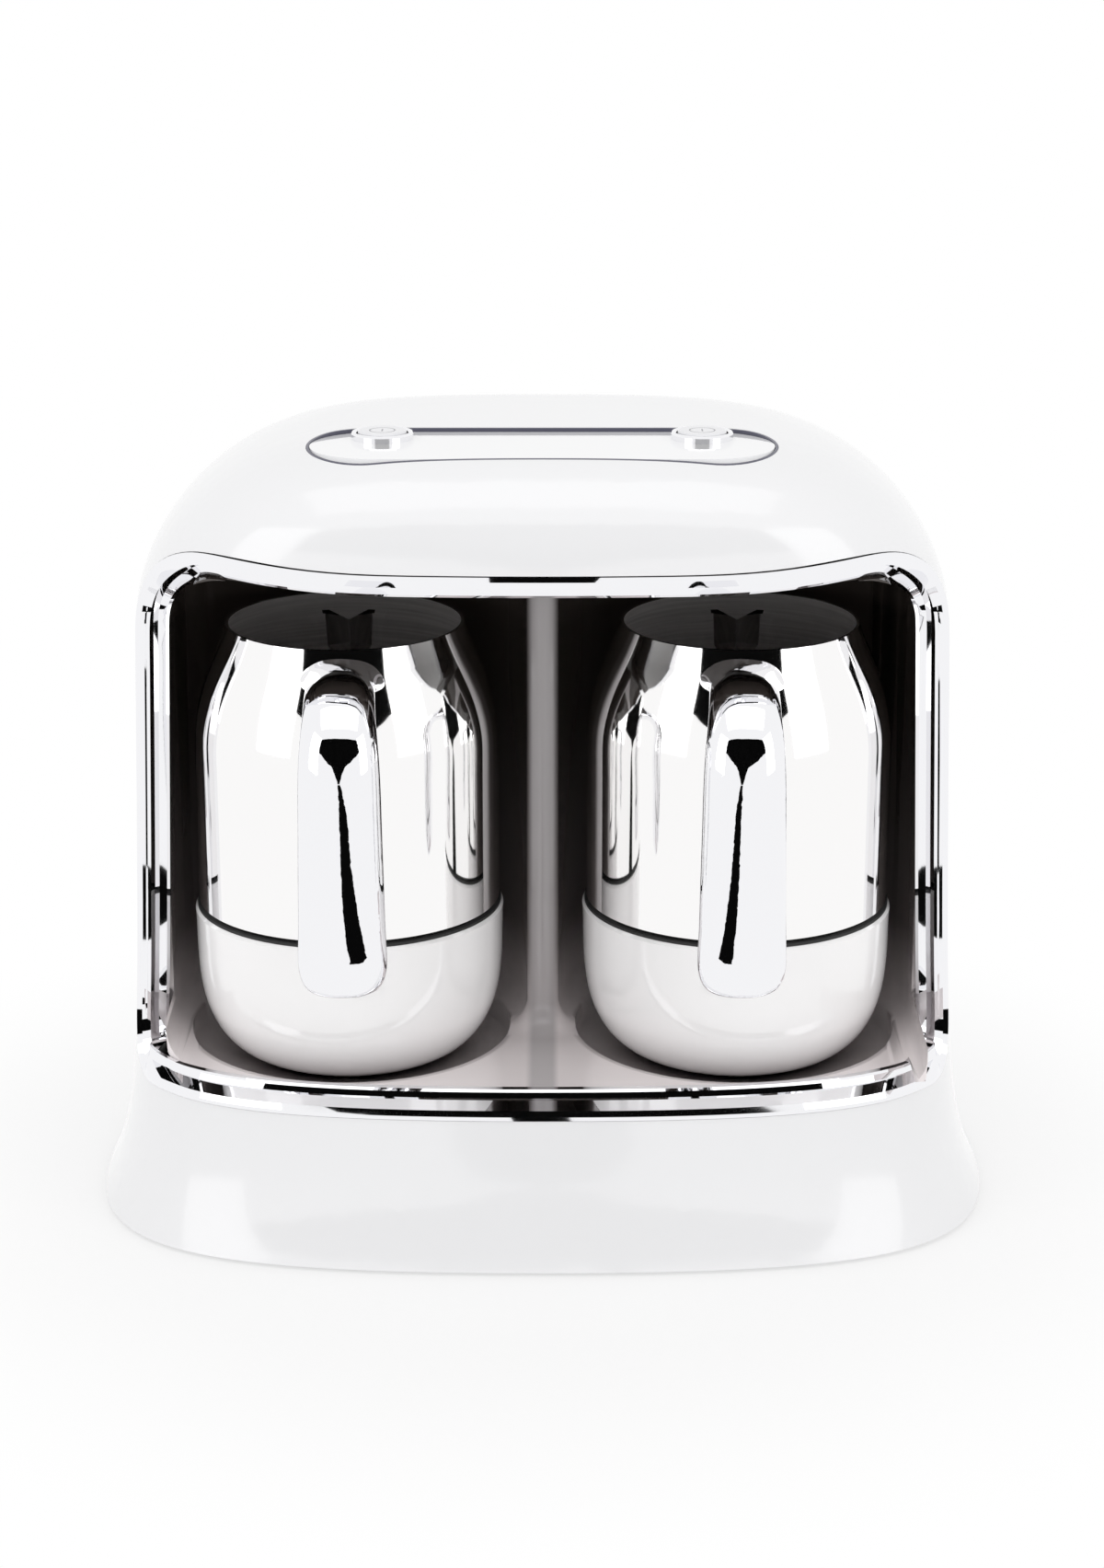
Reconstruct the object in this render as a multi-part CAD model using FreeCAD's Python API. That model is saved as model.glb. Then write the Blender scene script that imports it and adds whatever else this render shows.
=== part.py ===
import FreeCAD, Part
import math
import os
from FreeCAD import Vector

os.makedirs("parts", exist_ok=True)

# all sizes in mm; heights count from the lower rim of the body, and the feet lift it;
# the whole object moves back a little so that its middle lies on the axis
footLift = 1.2
setBack = 2.04
wall = 2.4
bodyHeight = 237.0
curveStart = 177.0
seamSide = 0.853
jugX = 59.7
jugY = -5.0
bayRadius = 54.8
bayFloor = 48.0
bayCeiling = 200.0
recessDepth = 6.8
panelY = -26.5
panelHalf = 47.7
panelRadius = 21.1
panelTop = 235.9
buttonX = 47.0
buttonY = -15.8
jugTurn = 1.7
linerWall = 2.0


def save(name, *shapes):
    shape = shapes[0] if len(shapes) == 1 else Part.makeCompound(list(shapes))
    shape = shape.copy()
    shape.translate(Vector(0, setBack, footLift))
    shape.exportStep("parts/" + name + ".step")
    return shape


def box(x0, x1, y0, y1, z0, z1):
    return Part.makeBox(x1 - x0, y1 - y0, z1 - z0, Vector(x0, y0, z0))


def rod(x, y, z0, z1, radius):
    return Part.makeCylinder(radius, z1 - z0, Vector(x, y, z0))


def tube(x, y, z0, z1, outer, inner):
    return rod(x, y, z0, z1, outer).cut(rod(x, y, z0 - 1, z1 + 1, inner))


def rodY(x, z, y0, y1, radius):
    return Part.makeCylinder(radius, y1 - y0, Vector(x, y0, z), Vector(0, 1, 0))


def largest(shape):
    return max(shape.Solids, key=lambda s: s.Volume)


def joined(first, *others):
    return first.fuse(list(others)).removeSplitter()


def stadium(halfLength, radius, y, z0, z1):
    middle = box(-halfLength, halfLength, y - radius, y + radius, z0, z1)
    ends = [rod(x, y, z0, z1, radius) for x in (-halfLength, halfLength)]
    return joined(middle, *ends)


def turned(points, x, y):
    wire = Part.makePolygon([Vector(r, 0, z) for r, z in points + points[:1]])
    solid = Part.Face(wire).revolve(Vector(0, 0, 0), Vector(0, 0, 1), 360)
    solid.translate(Vector(x, y, 0))
    return solid


def spline(points):
    curve = Part.BSplineCurve()
    curve.interpolate([Vector(r, 0, z) for r, z in points])
    return curve.toShape()


def line(a, b):
    return Part.makeLine(Vector(a[0], 0, a[1]), Vector(b[0], 0, b[1]))


def wire(points, radius):
    # a bent wire from straight runs
    runs = []
    for a, b in zip(points[:-1], points[1:]):
        start = Vector(*a)
        step = Vector(*b) - start
        runs.append(Part.makeCylinder(radius, step.Length, start, step))
    return joined(runs[0], *runs[1:])


# the moulded body: wide foot that flares, straight sides, arched top
def halfWidth(z):
    if z > curveStart:
        rise = min(1.0, (z - curveStart) / (bodyHeight - curveStart))
        return 60.0 + 62.5 * math.sqrt(1 - rise * rise)
    return 122.5 + 0.027 * (curveStart - z) + 10.4 * math.exp(-z / 20.4)


def depth(z, straight, flare, top):
    if z > 208.0:
        rise = min(1.0, (z - 208.0) / (bodyHeight - 208.0))
        return top + (straight - top) * math.sqrt(1 - rise * rise)
    return straight + 0.009 * (208.0 - z) + flare * math.exp(-z / 16.0)


def frontDepth(z):
    return depth(z, 70.0, 13.4, 40.0)


def rearDepth(z):
    return depth(z, 75.0, 8.0, 46.0)


def section(z, zDraw, inset):
    a = halfWidth(z) - inset
    edges = []
    for b, sign in ((frontDepth(z) - inset, -1), (rearDepth(z) - inset, 1)):
        for side in (-1, 1):
            poles = [(0, sign * b), (side * 0.8 * a, sign * b),
                     (side * a, sign * 0.78 * b), (side * a, 0)]
            curve = Part.BezierCurve()
            curve.setPoles([Vector(x, y, zDraw) for x, y in poles])
            edges.append(curve.toShape())
    return Part.Wire([edges[0], edges[2], edges[3], edges[1]])


def bodySolid(inset, low):
    heights = [0, 5, 11, 18, 27, 40, 60, 95, 140, curveStart]
    rise = bodyHeight - curveStart
    heights += [curveStart + rise * math.sin(math.radians(t))
                for t in (12, 24, 36, 47, 57, 66, 74, 81, 86, 90)]
    wires = []
    for z in heights:
        shrink = 1 - inset / rise if z > curveStart else 1.0
        zDraw = curveStart + (z - curveStart) * shrink if z > curveStart else z
        wires.append(section(z, zDraw if z > 0 else low, inset))
    return Part.makeLoft(wires, True, False)


outer = bodySolid(0.0, 0.0)
inner = bodySolid(wall, -1.0)


# the opening: a closed line drawn on the body surface, right half first
def surfacePoint(t, z):
    across = 3 * (1 - t) ** 2 * t * 0.8 + 3 * (1 - t) * t * t + t ** 3
    back = (1 - t) ** 3 + 3 * (1 - t) ** 2 * t + 3 * (1 - t) * t * t * 0.78
    return Vector(halfWidth(z) * across, -frontDepth(z) * back, z)


def seamTop(t):
    u = max(0.0, min(1.0, (t - 0.2) / 0.34))
    return 206.9 + 2.4 * u * u * (3 - 2 * u)


def seamLine():
    half = [(t, 43.0) for t in (0, 0.08, 0.17, 0.26, 0.35, 0.44, 0.53, 0.62)]
    for k in range(1, 7):
        turn = math.radians(15 * k)
        half.append((0.7 + (seamSide - 0.7) * math.sin(turn), 43 + 19 * (1 - math.cos(turn))))
    half += [(seamSide, z) for z in (73, 86, 100, 115, 130, 145, 158, 170, 178)]
    for k in range(0, 9):
        turn = math.radians(11.25 * k)
        half.append((0.55 + (seamSide - 0.55) * math.cos(turn),
                     184 + (seamTop(0.55) - 184) * math.sin(turn)))
    half += [(t, seamTop(t)) for t in (0.46, 0.38, 0.3, 0.22, 0.14, 0.07, 0)]
    return half


def seamFrames():
    frames = []
    half = seamLine()
    for k, (t, z) in enumerate(half):
        p = surfacePoint(t, z)
        du = surfacePoint(t + 0.004, z) - surfacePoint(t - 0.004, z)
        dz = surfacePoint(t, z + 0.4) - surfacePoint(t, z - 0.4)
        normal = du.cross(dz).normalize()
        before = surfacePoint(*half[max(k - 1, 0)])
        after = surfacePoint(*half[min(k + 1, len(half) - 1)])
        along = after - before
        inward = Vector(-along.z, 0, along.x).normalize()
        frames.append((p, normal, inward))
    frames[0] = (frames[0][0], frames[0][1], Vector(0, 0, 1))
    frames[-1] = (frames[-1][0], frames[-1][1], Vector(0, 0, -1))
    flip = [(Vector(-p.x, p.y, p.z), Vector(-n.x, n.y, n.z), Vector(-e.x, e.y, e.z))
            for p, n, e in frames[-2:0:-1]]
    return frames + flip


seam = seamFrames()


def seamLoop(inset, back, out, corner=1.6):
    # inset runs toward the middle of the opening and is wider in its corners,
    # back runs to the rear, out stands off the body surface
    points = []
    for p, normal, inward in seam:
        rise = inward.z
        share = 1.06 - 0.30 * max(0.0, rise) ** 2 - 0.06 * max(0.0, -rise) ** 2
        share += corner * (rise * inward.x) ** 2
        points.append(p + inward * (inset * share) + Vector(0, back, 0) + normal * out)
    curve = Part.BSplineCurve()
    curve.interpolate(points, PeriodicFlag=True)
    return Part.Wire([curve.toShape()])


def seamRing(profile):
    loops = [seamLoop(*values) for values in profile]
    faces = []
    for a, b in zip(loops, loops[1:] + loops[:1]):
        faces += Part.makeRuledSurface(a.Edges[0], b.Edges[0]).Faces
    shell = Part.makeShell(faces)
    shell.sewShape()
    solid = Part.Solid(shell if shell.ShapeType == "Shell" else shell.Shells[0])
    if solid.Volume < 0:
        solid.reverse()
    return solid


bezel = seamRing([(0, 0, 0.3), (1.5, 0.15, 0.25), (3.6, 1.0, 0), (5.3, 7.6, 0), (7.4, 8.4, 0),
                  (8.2, 9.2, 0), (8.2, 11.4, 0), (6.6, 11.4, 0), (4.2, 9.4, 0), (0.15, 0.05, -2.75)])
openingCutter = seamRing([(-0.3, 0.6, 6), (4, 0.6, 6), (4, 6, -14), (-0.3, 0.6, -14)])
linerCutter = seamRing([(1, -40, 0, 0.6), (9.3, -40, 0, 0.6), (9.3, 11.5, 0, 0.6), (1, 11.5, 0, 0.6)])
print("seam solids", bezel.isValid(), openingCutter.isValid(), linerCutter.isValid())

shell = outer.cut(inner)
shell = largest(shell.cut(openingCutter))
print("shell", shell.isValid(), shell.Volume)

# rear cover: a flush panel in the back of the body
coverHalf = 92.0
coverLow = 30.0
coverHigh = 192.0


def coverPrism(shrink, y0, y1):
    x = coverHalf - shrink
    block = box(-x, x, y0, y1, coverLow + shrink, coverHigh - shrink)
    upright = [e for e in block.Edges if abs(e.tangentAt(e.FirstParameter).y) > 0.9]
    return block.makeFillet(18.0 - shrink, upright)


rearCover = largest(outer.cut(inner).common(coverPrism(0.3, 40, 100)))
shell = largest(shell.cut(coverPrism(0, 40, 100)))

# panel opening in the top
shell = largest(shell.cut(stadium(panelHalf, panelRadius, panelY, 225, 245)))
print("openings", shell.isValid())

# a ledge behind the rear cover's edge carries its screws
ledge = inner.cut(bodySolid(wall + 1.8, -2.0)).common(coverPrism(-7.0, 40, 100))
ledge = largest(ledge.cut(coverPrism(9.0, 40, 100)))
coverScrews = [(x, z) for x in (-58, 58) for z in (coverLow + 4.6, coverHigh - 4.6)]


def coverSurface(x, z):
    low, high = 0.0, 1.0
    for _ in range(30):
        middle = (low + high) / 2
        if surfacePoint(middle, z).x < abs(x):
            low = middle
        else:
            high = middle
    return -surfacePoint(low, z).y / frontDepth(z) * rearDepth(z)


screwBores = [rodY(x, z, 50, 100, 1.5) for x, z in coverScrews]
headBores = [rodY(x, z, coverSurface(x, z) - 1.3, 100, 3.3) for x, z in coverScrews]
rearCover = rearCover.cut(screwBores + headBores)
slots = []
for row in range(9):
    for x in (-36, 0, 36):
        slots.append(box(x - 13, x + 13, 60, 90, 118 + 6 * row, 120.4 + 6 * row))
rearCover = rearCover.cut(slots)

# cord gland and its seat, low in the rear cover
glandX = 62.0
glandZ = 52.0
glandY = 73.4
seat = rodY(glandX, glandZ, glandY - 6.5, glandY, 11.0)
well = rodY(glandX, glandZ, glandY, 100, 11.0)
rearCover = rearCover.cut(well).fuse(seat).cut(rodY(glandX, glandZ, 50, 100, 7.2))
rearCover = largest(rearCover)
print("rear cover", rearCover.isValid())
save("rear_cover", rearCover)
rearScrews = []
for x, z in coverScrews:
    y = coverSurface(x, z)
    head = rodY(x, z, y - 1.3, y - 0.1, 3.0)
    slot = box(x - 2.2, x + 2.2, y - 0.7, y + 1, z - 0.4, z + 0.4)
    rearScrews.append(head.cut(slot).fuse(rodY(x, z, y - 9, y - 1.3, 1.4)))
save("rear_screws", *rearScrews)

# screw posts inside the body for the base plate and the control board
baseScrews = [(x, y) for x in (-120.5, 120.5) for y in (-22, 24)]
baseScrews += [(x, y) for x in (-42, 42) for y in (-71.5, 74.5)]
boardScrews = [(x, y) for x in (-40, 40) for y in (-52.5, 10.5)]
posts = [rod(x, y, 4.4, 22, 4.2) for x, y in baseScrews]
posts += [rod(x, y, 222.6, 238, 3.0) for x, y in boardScrews]
posts = [post.common(outer) for post in posts]
shell = shell.fuse(posts + [ledge.cut(screwBores)])
shell = shell.cut([rod(x, y, 4, 16, 1.4) for x, y in baseScrews])
shell = shell.cut([rod(x, y, 222, 230, 1.2) for x, y in boardScrews])

shell = largest(shell)
save("outer_shell", shell)

gland = rodY(glandX, glandZ, glandY, glandY + 3.0, 9.6)
gland = gland.fuse(rodY(glandX, glandZ, glandY - 12.0, glandY, 6.9))
nut = rodY(glandX, glandZ, glandY - 10.5, glandY - 6.5, 9.0)
nut = nut.cut(rodY(glandX, glandZ, glandY - 12, glandY, 6.9))
glandBore = rodY(glandX, glandZ, 50, 100, 3.6)
save("cord_gland", gland.cut(glandBore).removeSplitter())
save("gland_nut", nut)
save("chrome_bezel", bezel)


# the liner: two round bays, a pillar between them, floor and ceiling
def bayPlan(grow, z0, z1, front):
    radius = bayRadius + grow
    edge = jugX + radius
    nose = jugX - radius
    p = [Vector(-edge, front, z0), Vector(-edge, jugY, z0), Vector(-jugX, jugY + radius, z0),
         Vector(-nose, jugY, z0), Vector(0, jugY - nose, z0), Vector(nose, jugY, z0),
         Vector(jugX, jugY + radius, z0), Vector(edge, jugY, z0), Vector(edge, front, z0)]
    edges = [Part.makeLine(p[0], p[1]), Part.Arc(p[1], p[2], p[3]).toShape(),
             Part.Arc(p[3], p[4], p[5]).toShape(), Part.Arc(p[5], p[6], p[7]).toShape(),
             Part.makeLine(p[7], p[8]), Part.makeLine(p[8], p[0])]
    return Part.Face(Part.Wire(edges)).extrude(Vector(0, 0, z1 - z0))


def bayHollow(grow, front):
    low = bayFloor - grow
    high = bayCeiling + grow
    hollow = bayPlan(grow, low, high, front)
    floorEdges = [e for e in hollow.Edges
                  if e.BoundBox.ZMax < low + 0.1 and e.BoundBox.YMax > front + 0.1]
    hollow = hollow.makeFillet(9.0 + grow, floorEdges)
    ceilingEdges = [e for e in hollow.Edges
                    if e.BoundBox.ZMin > high - 0.1 and e.BoundBox.YMax > front + 0.1]
    hollow = hollow.makeFillet(4.0 + grow, ceilingEdges)
    edge = jugX + bayRadius + grow
    arch = box(-edge, edge, front - 1, 90, low, high)
    upper = [e for e in arch.Edges if e.BoundBox.ZMin > high - 0.1 and e.BoundBox.YLength > 90]
    return hollow.common(arch.makeFillet(24.0 + grow, upper))


liner = bayHollow(linerWall, -59.0).cut(bayHollow(0.0, -95.0))
for side in (-1, 1):
    x = side * jugX
    low = bayFloor - recessDepth
    well = rod(x, jugY, low - linerWall, bayFloor, 49.6 + linerWall)
    liner = liner.fuse(well).cut(rod(x, jugY, low, bayFloor + 1, 49.6))
    liner = liner.cut(rod(x, jugY, low - 5, low + 1, 13.0))
    liner = liner.cut(rod(x, jugY + 34, bayCeiling - 1, 210, 6.1))
liner = largest(liner.cut(linerCutter).cut(bezel))
print("liner", liner.isValid(), liner.Volume, len(liner.Solids))
save("cavity_liner", liner)


# top panel, sunk at the back, with its trim and the button rings
trimWall = 0.9
trim = stadium(panelHalf, panelRadius - 0.1, panelY, 233.2, 240)
trim = trim.cut(stadium(panelHalf, panelRadius - trimWall, panelY, 232, 241)).common(outer)
shelf = stadium(panelHalf, panelRadius - 0.1, panelY, 232.0, 233.2)
shelf = shelf.cut(stadium(panelHalf, panelRadius - 3.5, panelY, 231, 234))
shelf = shelf.cut([rod(x, buttonY, 231, 234, 8.5) for x in (-buttonX, buttonX)])
save("top_panel_trim", joined(trim, shelf))
panel = stadium(panelHalf, panelRadius - trimWall - 0.15, panelY, 233.2, panelTop)
for x in (-buttonX, buttonX):
    panel = panel.cut(rod(x, buttonY, 230, 240, 8.2))
save("top_panel", panel)

capRadius = 7.2
capTop = 238.3
boardTop = 222.6
for name, x in (("left", -buttonX), ("right", buttonX)):
    ring = turned([(7.65, 230.6), (8.2, 230.6), (8.2, panelTop), (9.2, panelTop), (9.2, 237.4),
                   (8.9, 237.9), (8.3, 238.0), (7.65, 237.6)], x, buttonY)
    save(name + "_button_ring", ring)
    cap = turned([(0, 236.9), (6.0, 236.9), (6.0, 232.6), (capRadius, 232.6), (capRadius, 237.9),
                  (6.8, capTop), (0, capTop)], x, buttonY)
    save(name + "_button", joined(cap, rod(x, buttonY, 231.0, 237.5, 2.0)))
    save(name + "_plunger", joined(rod(x, buttonY, 225.5, 231.0, 1.6), rod(x, buttonY, 225.5, 226.6, 2.2)))
    case = box(x - 4.5, x + 4.5, buttonY - 4.5, buttonY + 4.5, boardTop, 229.0)
    case = case.cut(rod(x, buttonY, 224.0, 230.0, 2.0)).cut(rod(x, buttonY, 223.6, 228.0, 2.6))
    save(name + "_switch", case)

board = box(-60, 60, -55.5, 15, boardTop - 1.6, boardTop)
board = board.cut([rod(x, y, 220, 224, 1.4) for x, y in boardScrews])
chips = [box(-9, 9, -30, -16, boardTop - 3.4, boardTop - 1.6)]
chips += [box(x, x + 4, 2, 6, boardTop - 3.0, boardTop - 1.6) for x in (-30, -20, 18, 28)]
save("control_board", joined(board, *chips))
lights = [rod(x + dx, buttonY, boardTop, 226.0, 1.3) for x in (-buttonX, buttonX) for dx in (-6.2, 6.2)]
save("indicator_lights", *lights)
boardFixings = []
for x, y in boardScrews:
    boardFixings.append(joined(rod(x, y, boardTop - 3.0, boardTop - 1.6, 2.6), rod(x, y, boardTop - 1.6, 229, 1.1)))
save("board_screws", *boardFixings)

# base plate, feet and the power parts that stand on it
plateLow = 2.0
plateTop = 4.4
footSpots = [(x, y) for x in (-96, 96) for y in (-46, 46)]
boardLow = 9.0
boardHigh = boardLow + 1.6
standoffs = [(x, y) for x in (-48, 48) for y in (12, 46)]
plate = Part.Face(section(plateTop, plateLow, wall + 0.5)).extrude(Vector(0, 0, plateTop - plateLow))
plate = plate.cut([rod(x, y, 0, 6, 1.7) for x, y in baseScrews])
plate = plate.cut([rod(x, y, 0, 6, 4.1) for x, y in footSpots])
vents = [box(x - 1.2, x + 1.2, -16 + dy, 16 + dy, 0, 6) for x in range(-30, 31, 10) for dy in (-26, 26)]
plate = plate.cut(vents).fuse([rod(x, y, plateTop, boardLow, 3.0) for x, y in standoffs])
ribs = [box(-104, 104, -59, -57, plateTop, 8.0)]
ribs += [box(x - 1, x + 1, -56, 56, plateTop, 8.0) for x in (-74, 74)]
plate = plate.fuse(ribs).removeSplitter()
save("base_plate", plate)
feet = [turned([(0, -footLift), (7.6, -footLift), (9, 0), (9, plateLow), (4, plateLow), (4, 6.4), (0, 6.4)], x, y)
        for x, y in footSpots]
save("rubber_feet", *feet)
plateFixings = [joined(rod(x, y, 0.7, plateLow, 3.2), rod(x, y, plateLow, 14, 1.3)) for x, y in baseScrews]
save("base_screws", *plateFixings)
save("power_board", box(-54, 54, 6, 64, boardLow, boardHigh))
core = box(-14, 14, 14, 40, boardHigh, 24.0)
coil = box(-17, 17, 19, 35, boardHigh + 2, 22.0)
save("transformer", joined(core, coil))
save("relays", *[box(x - 8, x + 8, 20, 40, boardHigh, 26.0) for x in (-34, 34)])
save("capacitors", *[rod(x, y, boardHigh, 24.0, 4.2) for x, y in ((-22, 46.5), (-48, 30), (48, 24))])
save("terminal_block", box(-36, 36, 52, 62, boardHigh, 22.6))

for name, side in (("left", -1), ("right", 1)):
    x = side * jugX
    base = turned([(0, 35.0), (16, 35.0), (16, 39.2), (12.7, 39.2), (12.7, 41.2), (7, 41.2), (7, 48.8),
                   (5.8, 50), (0, 50)], x, jugY)
    save(name + "_connector", base)
    rings = [tube(x, jugY, z, z + 1.2, 7.35, 7.0) for z in (43.2, 46.0)]
    save(name + "_contacts", *(rings + [rod(x, jugY, 50, 51.2, 1.4)]))
    sensor = joined(rod(x, jugY + 34, bayCeiling + 0.2, 203.6, 5.8), rod(x, jugY + 34, 202.0, 203.6, 8.0))
    sensor = sensor.fuse(box(x - 6, x + 6, jugY + 26, jugY + 42, 203.6, 205.2)).removeSplitter()
    save(name + "_overflow_sensor", sensor)

leads = []
for side in (-1, 1):
    for k, dy in enumerate((-4.0, 4.0)):
        x = side * jugX
        end = side * (12.0 + 7 * k)
        leads.append(wire([(x, jugY + dy, 35.0), (x, jugY + dy, 29.0), (end, 57.0, 29.0), (end, 57.0, 22.6)], 1.3))
save("heater_leads", *leads)
leadStart = glandY - 12.8
mains = []
for dx, y, z, end in ((-1.7, 58.0, 30.0, 33.0), (1.7, 55.4, 26.8, 27.0)):
    mains.append(wire([(glandX + dx, leadStart, glandZ), (glandX + dx, y, glandZ), (glandX + dx, y, z), (end, y, z),
                       (end, y, 22.6)], 1.2))
save("mains_leads", *mains)
save("control_cable", wire([(0, 12, boardTop - 1.6), (0, 12, 214), (0, 64.5, 204), (0, 64.5, 34), (0, 57, 26),
                            (0, 57, 22.6)], 1.8))


# the jugs: spun steel body with a pressed spout, moulded cup, cast handle, heater
jugTop = 178.0
steel = 0.9


def spun(edges):
    return Part.Face(Part.Wire(edges)).revolve(Vector(0, 0, 0), Vector(0, 0, 1), 360)


def steelSolid(inset, low, high):
    # shoulder curve from the mouth down to the straight side
    r = 46.3 - inset
    curve = Part.BSplineCurve()
    points = [(36.0, jugTop), (39.6, 168.8), (43.7, 157.4), (45.7, 148.0), (46.3, 136.0)]
    curve.interpolate(Points=[Vector(a - inset, 0, z) for a, z in points],
                      InitialTangent=Vector(0.33, 0, -1), FinalTangent=Vector(0, 0, -1))
    step = 44.9 - inset
    turn = 12.0 - inset
    corner = Vector(step - turn * (1 - math.sqrt(0.5)), 0, low + turn * (1 - math.sqrt(0.5)))
    edges = [line((0, high), (36.0 - inset, high))]
    if high > jugTop:
        edges.append(line((36.0 - inset, high), (36.0 - inset, jugTop)))
    edges += [curve.toShape(), line((r, 136.0), (r, 91.4 + inset * 0.4)),
              line((r, 91.4 + inset * 0.4), (step, 90.2 + inset * 0.4)),
              line((step, 90.2 + inset * 0.4), (step, low + turn)),
              Part.Arc(Vector(step, 0, low + turn), corner, Vector(step - turn, 0, low)).toShape(),
              line((step - turn, low), (0, low)), line((0, low), (0, high))]
    return spun(edges)


def spoutSolid(inset):
    # a wide pressed beak: height, half width, where it leaves the wall, its crease
    wires = []
    for z, half, root, tip in ((138.0, 5.0, 45.9, 46.2), (148.0, 10.5, 44.5, 49.4),
                               (159.0, 13.2, 40.9, 47.6), (173.0, 15.6, 34.6, 42.4)):
        side = half - inset
        corners = [Vector(-side, 28, z), Vector(-side, root - inset, z), Vector(0, tip - 1.2 * inset, z),
                   Vector(side, root - inset, z), Vector(side, 28, z)]
        wires.append(Part.makePolygon(corners + corners[:1]))
    return Part.makeLoft(wires, True, True)


def spoutOutside():
    # the beak's open top falls away from the wall toward the crease
    slant = box(-40, 40, -20, 90, 0, 60)
    slant.rotate(Vector(0, 0, 0), Vector(1, 0, 0), -24)
    slant.translate(Vector(0, 36.5, 171.2))
    return spoutSolid(0.0).cut(slant)


def spoutWindow():
    # the opening from the jug into the beak, with a point of wall left in the middle
    dip = Part.makePolygon([Vector(-11, 20, 175), Vector(0, 20, 168.2), Vector(11, 20, 175), Vector(-11, 20, 175)])
    tooth = Part.Face(dip).extrude(Vector(0, 20, 0))
    return spoutSolid(steel).cut(box(-40, 40, 20, 60, 172.0, 190)).cut(tooth.common(box(-40, 40, 0, 40.0, 0, 190)))


def handleSolid():
    # sections along the handle: distance from the jug axis, height, slope, width, thickness
    stations = [(35.0, 168.6, 4, 25, 13), (41.5, 169.6, 6, 23, 10), (50.0, 171.0, 5, 20, 7.4),
                (60.0, 171.0, -8, 20, 7.4), (69.0, 167.8, -32, 20.6, 8.4), (74.6, 161.5, -62, 22, 10.4),
                (76.6, 152.0, -82, 23.2, 11.8), (77.0, 138.0, -90, 23.8, 12.0),
                (77.0, 118.0, -91, 24.5, 11.4), (76.6, 101.0, -93, 25.2, 9.6),
                (76.0, 91.5, -95, 24.2, 7.2), (75.6, 87.0, -95, 19.0, 4.6), (75.5, 85.4, -95, 11.0, 2.4)]
    wires = []
    for out, z, slope, width, thick in stations:
        lean = math.radians(slope)
        across = Vector(0, math.sin(lean), math.cos(lean))
        points = []
        for k in range(8):
            turn = math.radians(45 * k)
            grow = 0.58 if math.sin(turn) > 0 else 0.42
            flat = math.sin(turn) * thick * grow
            points.append(Vector(width / 2 * math.cos(turn), -out, z) + across * flat)
        curve = Part.BSplineCurve()
        curve.interpolate(points, PeriodicFlag=True)
        wires.append(Part.Wire([curve.toShape()]))
    return Part.makeLoft(wires, True, False)


steelOutside = steelSolid(0.0, 57.0, jugTop)
steelInside = steelSolid(steel, 57.0 + steel, jugTop + 12)
screwSpots = (-5.5, 5.5)
screwHoles = [rodY(x, 169.2, -47.5, -30, 1.5) for x in screwSpots]
vessel = joined(steelOutside, spoutOutside()).cut(steelInside).cut(spoutWindow())
vessel = largest(vessel.cut(screwHoles))
handle = largest(handleSolid().cut(steelSolid(-0.3, 57.0, jugTop)).cut(screwHoles))
handleScrews = [rodY(x, 169.2, -47.0, -36.4, 1.4).fuse(rodY(x, 169.2, -36.4, -35.0, 2.8)) for x in screwSpots]

cupOutside = [(47.5, 88.4), (47.2, 76.0), (46.2, 64.0), (43.4, 54.4), (38.2, 46.9), (30.0, 42.4)]
cupInside = [(29.9, 44.8), (36.2, 48.8), (41.0, 54.8), (43.8, 61.0), (45.1, 68.0)]
cupEdges = [spline(cupOutside), line((30.0, 42.4), (29.9, 44.8)), spline(cupInside),
            line((45.1, 68.0), (45.1, 89.4)), line((45.1, 89.4), (46.6, 89.4)), line((46.6, 89.4), (47.5, 88.4))]
cup = spun(cupEdges)
cover = turned([(17.7, 41.5), (27.0, 41.5), (29.8, 42.5), (29.7, 44.0), (17.7, 44.0)], 0, 0)
coverBolts = [(22.0 * math.cos(math.radians(t)), 22.0 * math.sin(math.radians(t))) for t in (90, 210, 330)]
cover = cover.cut([rod(x, y, 40, 50, 1.3) for x, y in coverBolts])
cover = cover.cut([rod(x, y, 41, 42.7, 2.6) for x, y in coverBolts])
bolts = [joined(rod(x, y, 41.7, 42.7, 2.4), rod(x, y, 42.7, 53.6, 1.2)) for x, y in coverBolts]
heater = rod(0, 0, 53.6, 57.0, 36.0)
element = tube(0, 0, 49.6, 53.6, 32.4, 27.6)
socket = tube(0, 0, 41.8, 53.6, 17.5, 8.2)
socket = socket.fuse(rod(0, 0, 52.0, 53.6, 9.0)).removeSplitter()
thermostat = rod(0, -22.0, 48.5, 53.6, 2.8)
gasket = tube(0, 0, 89.4, 90.2, 46.8, 45.0)

jugParts = {"jug_body": [vessel], "jug_handle": [handle], "handle_screws": handleScrews, "jug_cup": [cup],
            "jug_cover": [cover], "cover_screws": bolts, "heater_plate": [heater], "heater_element": [element],
            "jug_socket": [socket], "jug_thermostat": [thermostat], "jug_seal": [gasket]}
for name, shapes in jugParts.items():
    for side, x in (("left", -jugX), ("right", jugX)):
        placed = [shape.copy() for shape in shapes]
        for shape in placed:
            # each jug stands turned a little, so that its handle leans to the middle
            shape.rotate(Vector(0, 0, 0), Vector(0, 0, 1), -jugTurn if side == "right" else jugTurn)
            shape.translate(Vector(x, jugY, 0))
        save(side + "_" + name, *placed)
    print(name, [round(shape.Volume) for shape in shapes], [shape.isValid() for shape in shapes])
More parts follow.
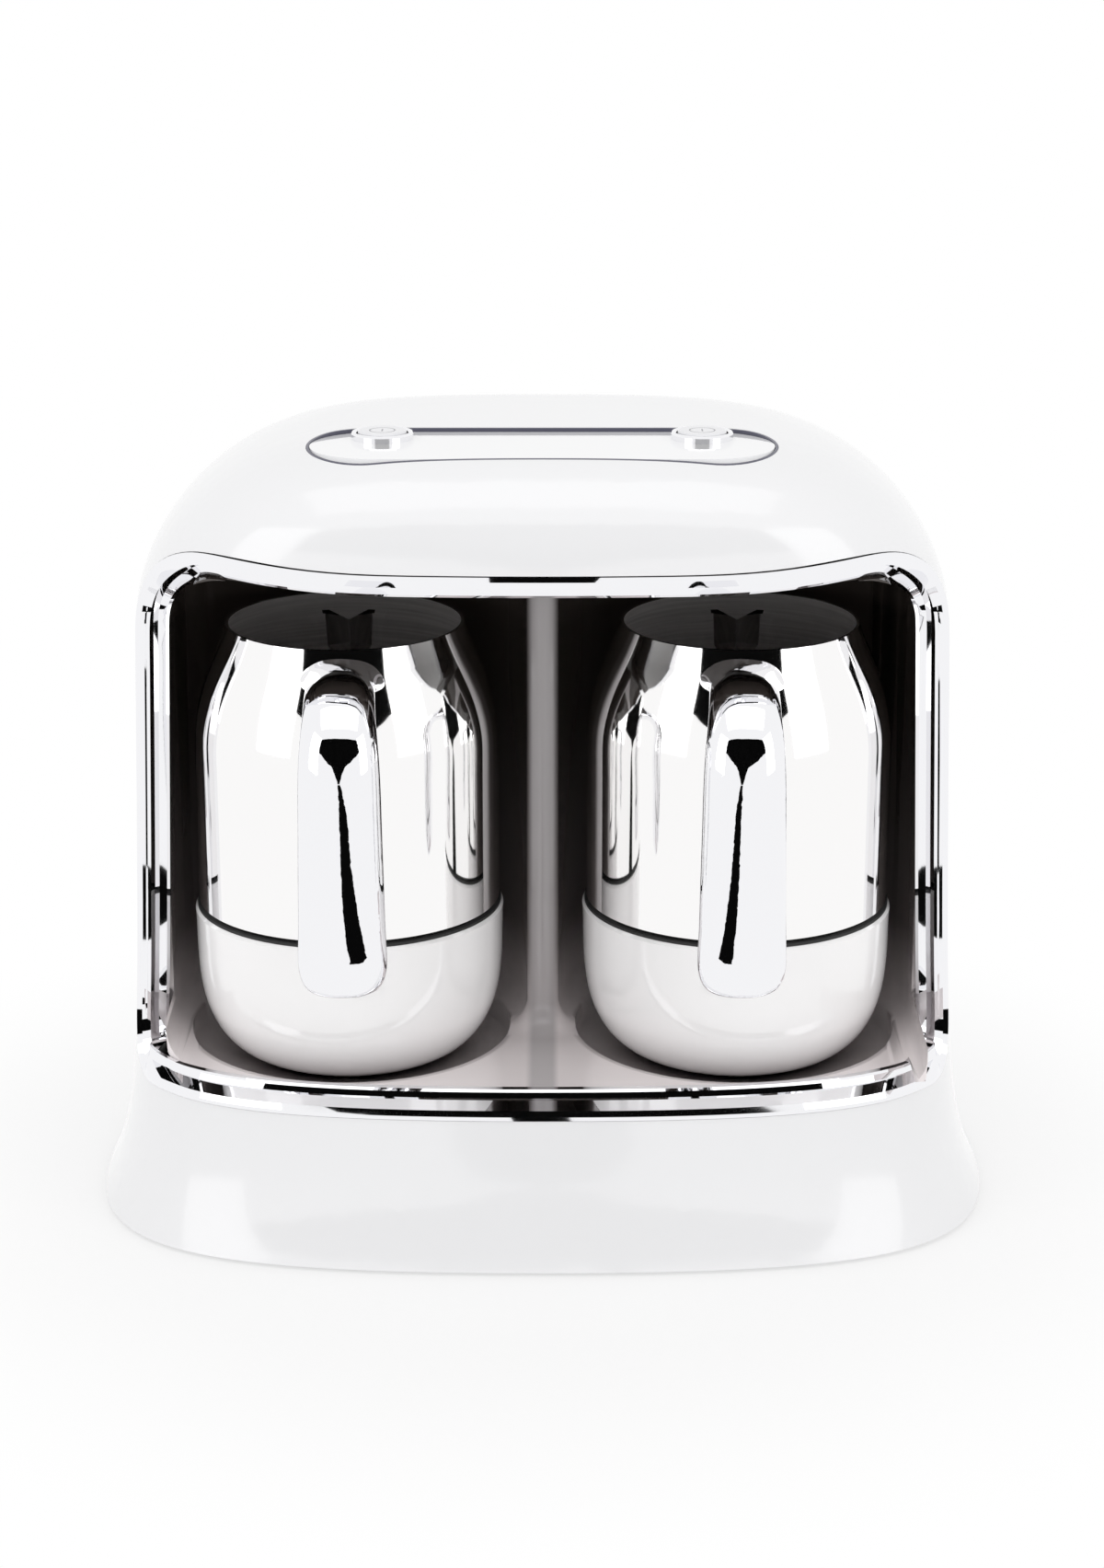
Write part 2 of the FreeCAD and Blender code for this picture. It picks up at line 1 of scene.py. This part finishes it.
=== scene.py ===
import math
import bpy
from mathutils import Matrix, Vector


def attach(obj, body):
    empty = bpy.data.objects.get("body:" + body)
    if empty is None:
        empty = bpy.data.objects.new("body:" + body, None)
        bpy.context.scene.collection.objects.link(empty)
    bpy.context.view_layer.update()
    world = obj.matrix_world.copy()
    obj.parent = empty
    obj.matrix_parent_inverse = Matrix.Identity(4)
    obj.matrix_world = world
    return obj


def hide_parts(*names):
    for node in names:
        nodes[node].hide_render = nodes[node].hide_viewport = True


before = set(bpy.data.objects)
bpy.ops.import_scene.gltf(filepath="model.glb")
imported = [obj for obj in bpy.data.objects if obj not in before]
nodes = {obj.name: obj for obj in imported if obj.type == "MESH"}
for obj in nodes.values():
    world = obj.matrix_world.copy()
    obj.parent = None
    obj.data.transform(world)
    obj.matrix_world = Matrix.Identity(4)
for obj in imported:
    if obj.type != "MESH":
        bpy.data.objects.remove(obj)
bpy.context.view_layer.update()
print("frame loaded", len(nodes))


def newMaterial(name):
    material = bpy.data.materials.new(name)
    material.use_nodes = True
    return material, material.node_tree.nodes, material.node_tree.links


def newGroup(name, inputs, outputs):
    group = bpy.data.node_groups.new(name, "ShaderNodeTree")
    for label, kind, value in inputs:
        socket = group.interface.new_socket(label, in_out="INPUT", socket_type=kind)
        if value is not None:
            socket.default_value = value
    for label, kind in outputs:
        group.interface.new_socket(label, in_out="OUTPUT", socket_type=kind)
    return group, group.nodes.new("NodeGroupInput"), group.nodes.new("NodeGroupOutput")


def mathNode(tree, operation, a, b=None, clamp=False):
    node = tree.nodes.new("ShaderNodeMath")
    node.operation = operation
    node.use_clamp = clamp
    for socket, value in zip(node.inputs, (a, b)):
        if value is None:
            continue
        if isinstance(value, (int, float)):
            socket.default_value = value
        else:
            tree.links.new(value, socket)
    return node.outputs[0]


# fine unevenness of a moulded or rolled skin, as a roughness value and a normal
skinValues = {"roughness": 0.2, "spread": 0.05, "strength": 0.1, "scale": 38.0, "detail": 3.0, "bump": 0.0002}


def makeSkinGroup():
    inputs = [("Roughness", "NodeSocketFloat", skinValues["roughness"]),
              ("Spread", "NodeSocketFloat", skinValues["spread"]),
              ("Bump", "NodeSocketFloat", skinValues["strength"]),
              ("Scale", "NodeSocketFloat", skinValues["scale"])]
    group, entry, leave = newGroup("skin", inputs,
                                   [("Roughness", "NodeSocketFloat"), ("Normal", "NodeSocketVector")])
    place = group.nodes.new("ShaderNodeTexCoord")
    noise = group.nodes.new("ShaderNodeTexNoise")
    noise.inputs["Detail"].default_value = skinValues["detail"]
    group.links.new(place.outputs["Object"], noise.inputs["Vector"])
    group.links.new(entry.outputs["Scale"], noise.inputs["Scale"])
    centred = mathNode(group, "SUBTRACT", noise.outputs["Fac"], 0.5)
    spread = mathNode(group, "MULTIPLY", centred, entry.outputs["Spread"])
    rough = mathNode(group, "ADD", entry.outputs["Roughness"], spread, True)
    group.links.new(rough, leave.inputs["Roughness"])
    bump = group.nodes.new("ShaderNodeBump")
    bump.inputs["Distance"].default_value = skinValues["bump"]
    group.links.new(entry.outputs["Bump"], bump.inputs["Strength"])
    group.links.new(noise.outputs["Fac"], bump.inputs["Height"])
    group.links.new(bump.outputs["Normal"], leave.inputs["Normal"])
    return group


# fine scratches along one direction, as rolled or brushed metal has
brushValues = {"fine": 900.0, "long": 26.0, "scale": 1.0, "detail": 4.0, "strength": 0.3, "distance": 0.00006}


def makeBrushGroup():
    group, entry, leave = newGroup("brush", [("Strength", "NodeSocketFloat", brushValues["strength"])],
                                   [("Mask", "NodeSocketFloat"), ("Normal", "NodeSocketVector")])
    place = group.nodes.new("ShaderNodeTexCoord")
    stretch = group.nodes.new("ShaderNodeMapping")
    stretch.inputs["Scale"].default_value = (brushValues["long"], brushValues["long"], brushValues["fine"])
    noise = group.nodes.new("ShaderNodeTexNoise")
    noise.inputs["Scale"].default_value = brushValues["scale"]
    noise.inputs["Detail"].default_value = brushValues["detail"]
    group.links.new(place.outputs["Object"], stretch.inputs["Vector"])
    group.links.new(stretch.outputs["Vector"], noise.inputs["Vector"])
    bump = group.nodes.new("ShaderNodeBump")
    bump.inputs["Distance"].default_value = brushValues["distance"]
    group.links.new(entry.outputs["Strength"], bump.inputs["Strength"])
    group.links.new(noise.outputs["Fac"], bump.inputs["Height"])
    group.links.new(noise.outputs["Fac"], leave.inputs["Mask"])
    group.links.new(bump.outputs["Normal"], leave.inputs["Normal"])
    return group


skinGroup = makeSkinGroup()
brushGroup = makeBrushGroup()


# what a plain look takes where it names no value of its own
plainValues = {"metallic": 0.0, "ior": 1.5, "coat": 0.0, "coatRoughness": 0.04, "spread": 0.03, "bump": 0.05}


def plainMaterial(name, values):
    material, made, links = newMaterial(name)
    shader = made["Principled BSDF"]
    shader.inputs["Base Color"].default_value = values["colour"] + (1.0,)
    shader.inputs["Metallic"].default_value = values.get("metallic", plainValues["metallic"])
    shader.inputs["IOR"].default_value = plainValues["ior"]
    shader.inputs["Coat Weight"].default_value = values.get("coat", plainValues["coat"])
    shader.inputs["Coat Roughness"].default_value = plainValues["coatRoughness"]
    skin = made.new("ShaderNodeGroup")
    skin.node_tree = skinGroup
    skin.inputs["Roughness"].default_value = values["roughness"]
    skin.inputs["Spread"].default_value = values.get("spread", plainValues["spread"])
    skin.inputs["Bump"].default_value = values.get("bump", plainValues["bump"])
    skin.inputs["Scale"].default_value = values.get("scale", skinValues["scale"])
    links.new(skin.outputs["Roughness"], shader.inputs["Roughness"])
    links.new(skin.outputs["Normal"], shader.inputs["Normal"])
    return material


looks = {
    "whiteGloss": {"colour": (0.86, 0.86, 0.87), "roughness": 0.16, "coat": 0.4},
    "cupGloss": {"colour": (0.96, 0.95, 0.95), "roughness": 0.12, "coat": 0.5},
    "panelGloss": {"colour": (0.90, 0.90, 0.91), "roughness": 0.08, "coat": 0.6},
    "chrome": {"colour": (0.90, 0.90, 0.92), "metallic": 1.0, "roughness": 0.025, "spread": 0.01,
               "bump": 0.0},
    "polishedSteel": {"colour": (0.86, 0.855, 0.85), "metallic": 1.0, "roughness": 0.06, "bump": 0.0},
    # the panel trim's dark blue-grey is partly a tinted trim colour and partly painted shade of the recess
    # wall round the top panel
    "greyTrim": {"colour": (0.10, 0.10, 0.14), "roughness": 0.3},
    "buttonGrey": {"colour": (0.80, 0.80, 0.82), "roughness": 0.2},
    "blackPlastic": {"colour": (0.018, 0.018, 0.02), "roughness": 0.45, "spread": 0.1, "bump": 0.3,
                     "scale": 900.0},
    "rubber": {"colour": (0.02, 0.02, 0.02), "roughness": 0.7, "bump": 0.3, "scale": 700.0},
    "board": {"colour": (0.02, 0.11, 0.05), "roughness": 0.4},
    "brass": {"colour": (0.78, 0.56, 0.24), "metallic": 1.0, "roughness": 0.25},
    "aluminium": {"colour": (0.72, 0.72, 0.74), "metallic": 1.0, "roughness": 0.4, "bump": 0.3,
                  "scale": 400.0},
    "lens": {"colour": (0.75, 0.82, 0.9), "roughness": 0.1},
}
materials = {name: plainMaterial(name, values) for name, values in looks.items()}


def rangeNode(tree, value, low, high, lowOut=0.0, highOut=1.0):
    node = tree.nodes.new("ShaderNodeMapRange")
    node.interpolation_type = "SMOOTHSTEP"
    for label, number in (("From Min", low), ("From Max", high), ("To Min", lowOut), ("To Max", highOut)):
        node.inputs[label].default_value = number
    tree.links.new(value, node.inputs["Value"])
    return node.outputs["Result"]


def mixColour(tree, mask, a, b):
    node = tree.nodes.new("ShaderNodeMix")
    node.data_type = "RGBA"
    tree.links.new(mask, node.inputs[0])
    for socket, value in ((node.inputs[6], a), (node.inputs[7], b)):
        if isinstance(value, tuple):
            socket.default_value = value + (1.0,)
        else:
            tree.links.new(value, socket)
    return node.outputs[2]


# inside of a spun jug: 1 where the surface looks toward the jug's axis
jugValues = {"axisX": 0.0597, "axisY": -0.00296, "facing": -0.002, "rim": 0.1792, "rimRadius": 0.0363,
             "taper": 0.374, "outside": (0.95, 0.943, 0.94), "inside": (0.68, 0.655, 0.65), "darkest": 0.7,
             "lightest": 1.4, "dull": 0.5, "polish": 0.05, "insideRoughness": 0.42, "brush": 0.35}


def makeInsideGroup():
    group, entry, leave = newGroup("inside", [], [("Mask", "NodeSocketFloat")])
    place = group.nodes.new("ShaderNodeTexCoord")
    apart = group.nodes.new("ShaderNodeSeparateXYZ")
    group.links.new(place.outputs["Object"], apart.inputs[0])
    facing = group.nodes.new("ShaderNodeSeparateXYZ")
    group.links.new(place.outputs["Normal"], facing.inputs[0])
    side = mathNode(group, "SIGN", apart.outputs[0])
    x = mathNode(group, "SUBTRACT", apart.outputs[0], mathNode(group, "MULTIPLY", side, jugValues["axisX"]))
    y = mathNode(group, "SUBTRACT", apart.outputs[1], jugValues["axisY"])
    dot = mathNode(group, "ADD", mathNode(group, "MULTIPLY", x, facing.outputs[0]),
                   mathNode(group, "MULTIPLY", y, facing.outputs[1]))
    # the beak lies outside the cone of the shoulder and stays polished
    reach = mathNode(group, "SQRT", mathNode(group, "ADD", mathNode(group, "MULTIPLY", x, x),
                                             mathNode(group, "MULTIPLY", y, y)))
    drop = mathNode(group, "SUBTRACT", jugValues["rim"], apart.outputs[2])
    widening = mathNode(group, "MULTIPLY", drop, jugValues["taper"])
    cone = mathNode(group, "ADD", widening, jugValues["rimRadius"])
    wall = mathNode(group, "LESS_THAN", reach, cone)
    inward = mathNode(group, "LESS_THAN", dot, jugValues["facing"])
    group.links.new(mathNode(group, "MULTIPLY", inward, wall), leave.inputs["Mask"])
    return group


insideGroup = makeInsideGroup()


def jugSteel():
    material, made, links = newMaterial("jugSteel")
    tree = material.node_tree
    shader = made["Principled BSDF"]
    inside = made.new("ShaderNodeGroup")
    inside.node_tree = insideGroup
    mask = inside.outputs["Mask"]
    dull = mathNode(tree, "MULTIPLY", mask, jugValues["dull"])
    links.new(mathNode(tree, "SUBTRACT", 1.0, dull), shader.inputs["Metallic"])
    brush = made.new("ShaderNodeGroup")
    brush.node_tree = brushGroup
    brush.inputs["Strength"].default_value = jugValues["brush"]
    # painted shade: the inside's steel colour is set darker than the outside, under the real brushed grain
    # that varies it between darkest and lightest
    darkest = tuple(jugValues["darkest"] * v for v in jugValues["inside"])
    lightest = tuple(jugValues["lightest"] * v for v in jugValues["inside"])
    dark = mixColour(tree, brush.outputs["Mask"], darkest, lightest)
    links.new(mixColour(tree, mask, jugValues["outside"], dark), shader.inputs["Base Color"])
    rough = mathNode(tree, "MULTIPLY", mask, jugValues["insideRoughness"] - jugValues["polish"])
    links.new(mathNode(tree, "ADD", rough, jugValues["polish"]), shader.inputs["Roughness"])
    polish = made.new("ShaderNodeGroup")
    polish.node_tree = skinGroup
    polish.inputs["Bump"].default_value = 0.0
    mix = made.new("ShaderNodeMix")
    mix.data_type = "VECTOR"
    links.new(mask, mix.inputs[0])
    links.new(polish.outputs["Normal"], mix.inputs[4])
    links.new(brush.outputs["Normal"], mix.inputs[5])
    links.new(mix.outputs[1], shader.inputs["Normal"])
    return material


# moulded liner: gloss walls with painted shade that are dark high up and pale toward the bay floor, and a
# painted highlight strip down the pillar between the bays
linerPaintedLightValues = {"dark": (0.055, 0.045, 0.040), "middle": (0.24, 0.21, 0.205), "pale": (0.86, 0.80, 0.80),
               "floor": 0.052, "low": 0.08, "high": 0.16, "pillar": 0.0055, "strip": (0.50, 0.475, 0.48),
               "stripEdge": 0.5, "stripStrength": 0.9, "roughness": 0.14}


def linerPlastic():
    material, made, links = newMaterial("linerPlastic")
    tree = material.node_tree
    shader = made["Principled BSDF"]
    place = made.new("ShaderNodeTexCoord")
    apart = made.new("ShaderNodeSeparateXYZ")
    links.new(place.outputs["Object"], apart.inputs[0])
    rise = apart.outputs[2]
    # painted shade: pale at the bay floor, darkening up the walls where the bay's roof shades them
    wall = mixColour(tree, rangeNode(tree, rise, linerPaintedLightValues["floor"], linerPaintedLightValues["high"]),
                     linerPaintedLightValues["middle"], linerPaintedLightValues["dark"])
    paintedShadeColour = mixColour(tree, rangeNode(tree, rise, linerPaintedLightValues["floor"], linerPaintedLightValues["low"]),
                      linerPaintedLightValues["pale"], wall)
    # painted highlight: a pale strip down the nose of the pillar between the bays, where its gloss would
    # mirror the light
    across = mathNode(tree, "ABSOLUTE", apart.outputs[0])
    strip = rangeNode(tree, across, linerPaintedLightValues["pillar"] * linerPaintedLightValues["stripEdge"], linerPaintedLightValues["pillar"],
                      linerPaintedLightValues["stripStrength"], 0.0)
    links.new(mixColour(tree, strip, paintedShadeColour, linerPaintedLightValues["strip"]), shader.inputs["Base Color"])
    shader.inputs["Roughness"].default_value = linerPaintedLightValues["roughness"]
    return material


# button cap: pale cap with a thin ring and bar printed on top
capValues = {"x": 0.047, "y": -0.01376, "ring": 0.0037, "line": 0.00022, "bar": 0.0017,
             "ink": (0.2, 0.2, 0.22), "cap": (0.80, 0.80, 0.82), "roughness": 0.2}


def capPlastic():
    material, made, links = newMaterial("capPlastic")
    tree = material.node_tree
    shader = made["Principled BSDF"]
    place = made.new("ShaderNodeTexCoord")
    apart = made.new("ShaderNodeSeparateXYZ")
    links.new(place.outputs["Object"], apart.inputs[0])
    x = mathNode(tree, "SUBTRACT", mathNode(tree, "ABSOLUTE", apart.outputs[0]), capValues["x"])
    y = mathNode(tree, "SUBTRACT", apart.outputs[1], capValues["y"])
    square = mathNode(tree, "ADD", mathNode(tree, "MULTIPLY", x, x), mathNode(tree, "MULTIPLY", y, y))
    radius = mathNode(tree, "SQRT", square)
    ring = mathNode(tree, "COMPARE", radius, capValues["ring"])
    ring.node.inputs[2].default_value = capValues["line"]
    thin = mathNode(tree, "LESS_THAN", mathNode(tree, "ABSOLUTE", x), capValues["line"])
    short = mathNode(tree, "LESS_THAN", mathNode(tree, "ABSOLUTE", y), capValues["bar"])
    bar = mathNode(tree, "MULTIPLY", thin, short)
    mark = mathNode(tree, "MAXIMUM", ring, bar)
    links.new(mixColour(tree, mark, capValues["cap"], capValues["ink"]), shader.inputs["Base Color"])
    shader.inputs["Roughness"].default_value = capValues["roughness"]
    return material


materials["jugSteel"] = jugSteel()
materials["linerPlastic"] = linerPlastic()
materials["capPlastic"] = capPlastic()

dressed = {
    "outer_shell": "whiteGloss", "rear_cover": "whiteGloss", "jug_cup": "cupGloss", "top_panel": "panelGloss",
    "top_panel_trim": "greyTrim", "cavity_liner": "linerPlastic", "chrome_bezel": "chrome",
    "button_ring": "chrome", "jug_handle": "chrome", "button": "capPlastic", "plunger": "buttonGrey",
    "jug_body": "jugSteel",
    "rubber_feet": "rubber", "jug_seal": "rubber", "mains_leads": "rubber", "heater_leads": "rubber",
    "control_cable": "rubber", "control_board": "board", "power_board": "board", "contacts": "brass",
    "heater_plate": "aluminium", "heater_element": "polishedSteel", "jug_thermostat": "polishedSteel",
    "capacitors": "polishedSteel", "transformer": "polishedSteel", "indicator_lights": "lens",
}
for name, node in nodes.items():
    plainName = name.replace("left_", "").replace("right_", "")
    look = dressed.get(plainName, "polishedSteel" if "screws" in plainName else "blackPlastic")
    node.data.materials.clear()
    node.data.materials.append(materials[look])
print("materials set")

# the body's front surface, which the liner's front corners are cut along; sizes in millimetres
frontValues = {"half": 122.5, "sideLean": 0.027, "sideTop": 177.0, "sideFlare": 10.4, "sideFlareRise": 20.4,
               "crown": 60.0, "crownRound": 62.5, "crownRise": 60.0,
               "depth": 70.0, "lean": 0.009, "top": 208.0, "flare": 13.4, "flareRise": 16.0,
               "ridge": 40.0, "ridgeRound": 30.0, "ridgeRise": 29.0, "acrossPull": 2.4, "backPull": 2.34}
# how the cut is made: places in metres, heights in millimetres
trimValues = {"setBack": 0.01354, "footLift": 1.2, "low": 36.0, "high": 216.0, "levels": 19, "steps": 24,
              "front": -0.13, "weld": 0.000005, "smooth": 30}


def bodyFront(t, height):
    v = frontValues
    z = height - trimValues["footLift"]
    half = v["half"] + v["sideLean"] * (v["sideTop"] - z) + v["sideFlare"] * math.exp(-z / v["sideFlareRise"])
    if z > v["sideTop"]:
        half = v["crown"] + v["crownRound"] * math.sqrt(1 - ((z - v["sideTop"]) / v["crownRise"]) ** 2)
    depth = v["depth"] + v["lean"] * (v["top"] - z) + v["flare"] * math.exp(-z / v["flareRise"])
    if z > v["top"]:
        depth = v["ridge"] + v["ridgeRound"] * math.sqrt(1 - ((z - v["top"]) / v["ridgeRise"]) ** 2)
    across = v["acrossPull"] * (1 - t) ** 2 * t + 3 * (1 - t) * t * t + t ** 3
    back = (1 - t) ** 3 + 3 * (1 - t) ** 2 * t + v["backPull"] * (1 - t) * t * t
    return half * across / 1000, trimValues["setBack"] - depth * back / 1000, height / 1000


def frontCutter():
    rows = []
    for level in range(trimValues["levels"]):
        share = level / (trimValues["levels"] - 1)
        height = trimValues["low"] + share * (trimValues["high"] - trimValues["low"])
        right = [bodyFront(k / trimValues["steps"], height) for k in range(trimValues["steps"] + 1)]
        edge = right[-1][0]
        row = [(-x, y, z) for x, y, z in right[:0:-1]] + right
        outer = [(edge, trimValues["front"], height / 1000), (-edge, trimValues["front"], height / 1000)]
        rows.append(row + outer)
    count = len(rows[0])
    last = (len(rows) - 1) * count
    faces = [tuple(range(count)), tuple(range(last + count - 1, last - 1, -1))]
    for level in range(len(rows) - 1):
        for k in range(count):
            a = level * count + k
            b = level * count + (k + 1) % count
            faces.append((b, a, a + count, b + count))
    mesh = bpy.data.meshes.new("frontCutter")
    mesh.from_pydata([point for row in rows for point in row], [], faces)
    cutter = bpy.data.objects.new("frontCutter", mesh)
    bpy.context.collection.objects.link(cutter)
    bpy.ops.object.select_all(action="DESELECT")
    cutter.select_set(True)
    bpy.context.view_layer.objects.active = cutter
    bpy.ops.object.mode_set(mode="EDIT")
    bpy.ops.mesh.select_all(action="SELECT")
    bpy.ops.mesh.normals_make_consistent(inside=False)
    bpy.ops.object.mode_set(mode="OBJECT")
    return cutter


def trimmedLiner():
    mesh = nodes["cavity_liner"].data.copy()
    mesh.name = "bayLiner"
    liner = bpy.data.objects.new("bayLiner", mesh)
    bpy.context.collection.objects.link(liner)
    cutter = frontCutter()
    bpy.ops.object.select_all(action="DESELECT")
    liner.select_set(True)
    bpy.context.view_layer.objects.active = liner
    bpy.ops.object.mode_set(mode="EDIT")
    bpy.ops.mesh.select_all(action="SELECT")
    bpy.ops.mesh.remove_doubles(threshold=trimValues["weld"])
    bpy.ops.object.mode_set(mode="OBJECT")
    cut = liner.modifiers.new("cut", "BOOLEAN")
    cut.operation = "DIFFERENCE"
    cut.solver = "EXACT"
    cut.object = cutter
    bpy.ops.object.modifier_apply(modifier=cut.name)
    bpy.data.objects.remove(cutter)
    bpy.ops.object.shade_smooth_by_angle(angle=math.radians(trimValues["smooth"]))
    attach(liner, "housing")
    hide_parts("cavity_liner")
    return liner


bayLiner = trimmedLiner()
print("liner trimmed", len(bayLiner.data.polygons))

# floor, camera and soft studio light
studio = {"cameraPlace": (0.00287, -1.00296, 0.4345), "pitch": 17.07, "lens": 78.39, "sensor": 36.0,
          "seen": 1.0, "unseen": 0.72, "white": (1, 1, 1, 1)}
cameraData = bpy.data.cameras.new("camera")
cameraData.lens = studio["lens"]
cameraData.sensor_width = studio["sensor"]
camera = bpy.data.objects.new("camera", cameraData)
camera.location = studio["cameraPlace"]
camera.rotation_euler = (math.radians(90 - studio["pitch"]), 0, 0)
bpy.context.collection.objects.link(camera)
bpy.context.scene.camera = camera

floorValues = {"size": 8, "colour": (0.92, 0.92, 0.92, 1), "roughness": 0.6, "specular": 0.1, "near": 0.12,
               "far": 0.26, "nearGlow": 0.6}
bpy.ops.mesh.primitive_plane_add(size=floorValues["size"])
floor = bpy.context.object
floor.name = "floor"
floorMaterial, made, links = newMaterial("paleFloor")
matt = made["Principled BSDF"]
matt.inputs["Base Color"].default_value = floorValues["colour"]
matt.inputs["Roughness"].default_value = floorValues["roughness"]
matt.inputs["Specular IOR Level"].default_value = floorValues["specular"]
tree = floorMaterial.node_tree
glow = made.new("ShaderNodeEmission")
path = made.new("ShaderNodeLightPath")
place = made.new("ShaderNodeTexCoord")
reach = made.new("ShaderNodeVectorMath")
reach.operation = "LENGTH"
links.new(place.outputs["Object"], reach.inputs[0])
distance = reach.outputs["Value"]
far = rangeNode(tree, distance, floorValues["near"], floorValues["far"], floorValues["nearGlow"])
reflected = mathNode(tree, "MAXIMUM", path.outputs["Is Glossy Ray"], path.outputs["Is Transmission Ray"])
direct = mathNode(tree, "MULTIPLY", path.outputs["Is Camera Ray"], far)
blend = made.new("ShaderNodeMixShader")
links.new(mathNode(tree, "MAXIMUM", reflected, direct), blend.inputs["Fac"])
links.new(matt.outputs[0], blend.inputs[1])
links.new(glow.outputs[0], blend.inputs[2])
links.new(blend.outputs[0], made["Material Output"].inputs["Surface"])
floor.data.materials.append(floorMaterial)


def areaLight(name, place, aim, size, power):
    data = bpy.data.lights.new(name, "AREA")
    data.shape = "RECTANGLE"
    data.size, data.size_y = size
    data.energy = power
    light = bpy.data.objects.new(name, data)
    light.location = place
    direction = Vector(aim) - Vector(place)
    light.rotation_euler = direction.to_track_quat("-Z", "Y").to_euler()
    bpy.context.collection.objects.link(light)


lights = {
    "leftBox": {"place": (-1.5, -1.1, 0.8), "aim": (0, 0, 0.12), "size": (1.0, 1.6), "power": 7},
    "rightBox": {"place": (1.5, -1.1, 0.8), "aim": (0, 0, 0.12), "size": (1.0, 1.6), "power": 7},
    "topBox": {"place": (0, -0.3, 2.0), "aim": (0, 0, 0.1), "size": (2.0, 1.2), "power": 6},
}
for name, values in lights.items():
    areaLight(name, values["place"], values["aim"], values["size"], values["power"])

# dark cards in front of the object, seen only in its reflections
cardValues = {"shade": (0.003, 0.003, 0.003, 1), "far": 0.03, "near": 0.042, "lift": 0.003,
              "start": -1.5, "end": -0.2, "neck": 0.22, "neckHeight": 0.3, "wide": 1.3, "low": 0.85,
              "high": 1.75, "back": -1.6}


def darkCard(name, corners):
    mesh = bpy.data.meshes.new(name)
    mesh.from_pydata(corners, [], [tuple(range(len(corners)))])
    card = bpy.data.objects.new(name, mesh)
    material, made, links = newMaterial(name + "Black")
    made["Principled BSDF"].inputs["Base Color"].default_value = cardValues["shade"]
    made["Principled BSDF"].inputs["Specular IOR Level"].default_value = 0
    mesh.materials.append(material)
    bpy.context.collection.objects.link(card)
    card.visible_camera = False
    card.visible_diffuse = False
    card.visible_shadow = False
    card.visible_transmission = False


def mirrored(right):
    left = [(-x, y, z) for x, y, z in right]
    return left[:1] + right + left[:0:-1]


strip = [(cardValues["far"], cardValues["start"], cardValues["lift"]),
         (cardValues["near"], cardValues["end"], cardValues["lift"])]
fan = [(cardValues["far"], cardValues["back"], 0.0),
       (cardValues["neck"], cardValues["back"], cardValues["neckHeight"]),
       (cardValues["wide"], cardValues["back"], cardValues["low"]),
       (cardValues["wide"], cardValues["back"], cardValues["high"])]
darkCard("floorStrip", mirrored(strip))
darkCard("backFan", mirrored(fan))

world = bpy.data.worlds.new("studioWorld")
bpy.context.scene.world = world
world.use_nodes = True
tree = world.node_tree
tree.nodes.clear()
output = tree.nodes.new("ShaderNodeOutputWorld")
pale = tree.nodes.new("ShaderNodeBackground")
pale.inputs["Color"].default_value = studio["white"]
pale.inputs["Strength"].default_value = studio["seen"]
dim = tree.nodes.new("ShaderNodeBackground")
dim.inputs["Color"].default_value = studio["white"]
dim.inputs["Strength"].default_value = studio["unseen"]
path = tree.nodes.new("ShaderNodeLightPath")
mix = tree.nodes.new("ShaderNodeMixShader")
seen = mathNode(tree, "MAXIMUM", path.outputs["Is Camera Ray"], path.outputs["Is Glossy Ray"])
seen = mathNode(tree, "MAXIMUM", seen, path.outputs["Is Transmission Ray"])
tree.links.new(seen, mix.inputs["Fac"])
tree.links.new(dim.outputs[0], mix.inputs[1])
tree.links.new(pale.outputs[0], mix.inputs[2])
tree.links.new(mix.outputs[0], output.inputs["Surface"])
bpy.context.scene.view_settings.view_transform = "Standard"
print("studio ready")
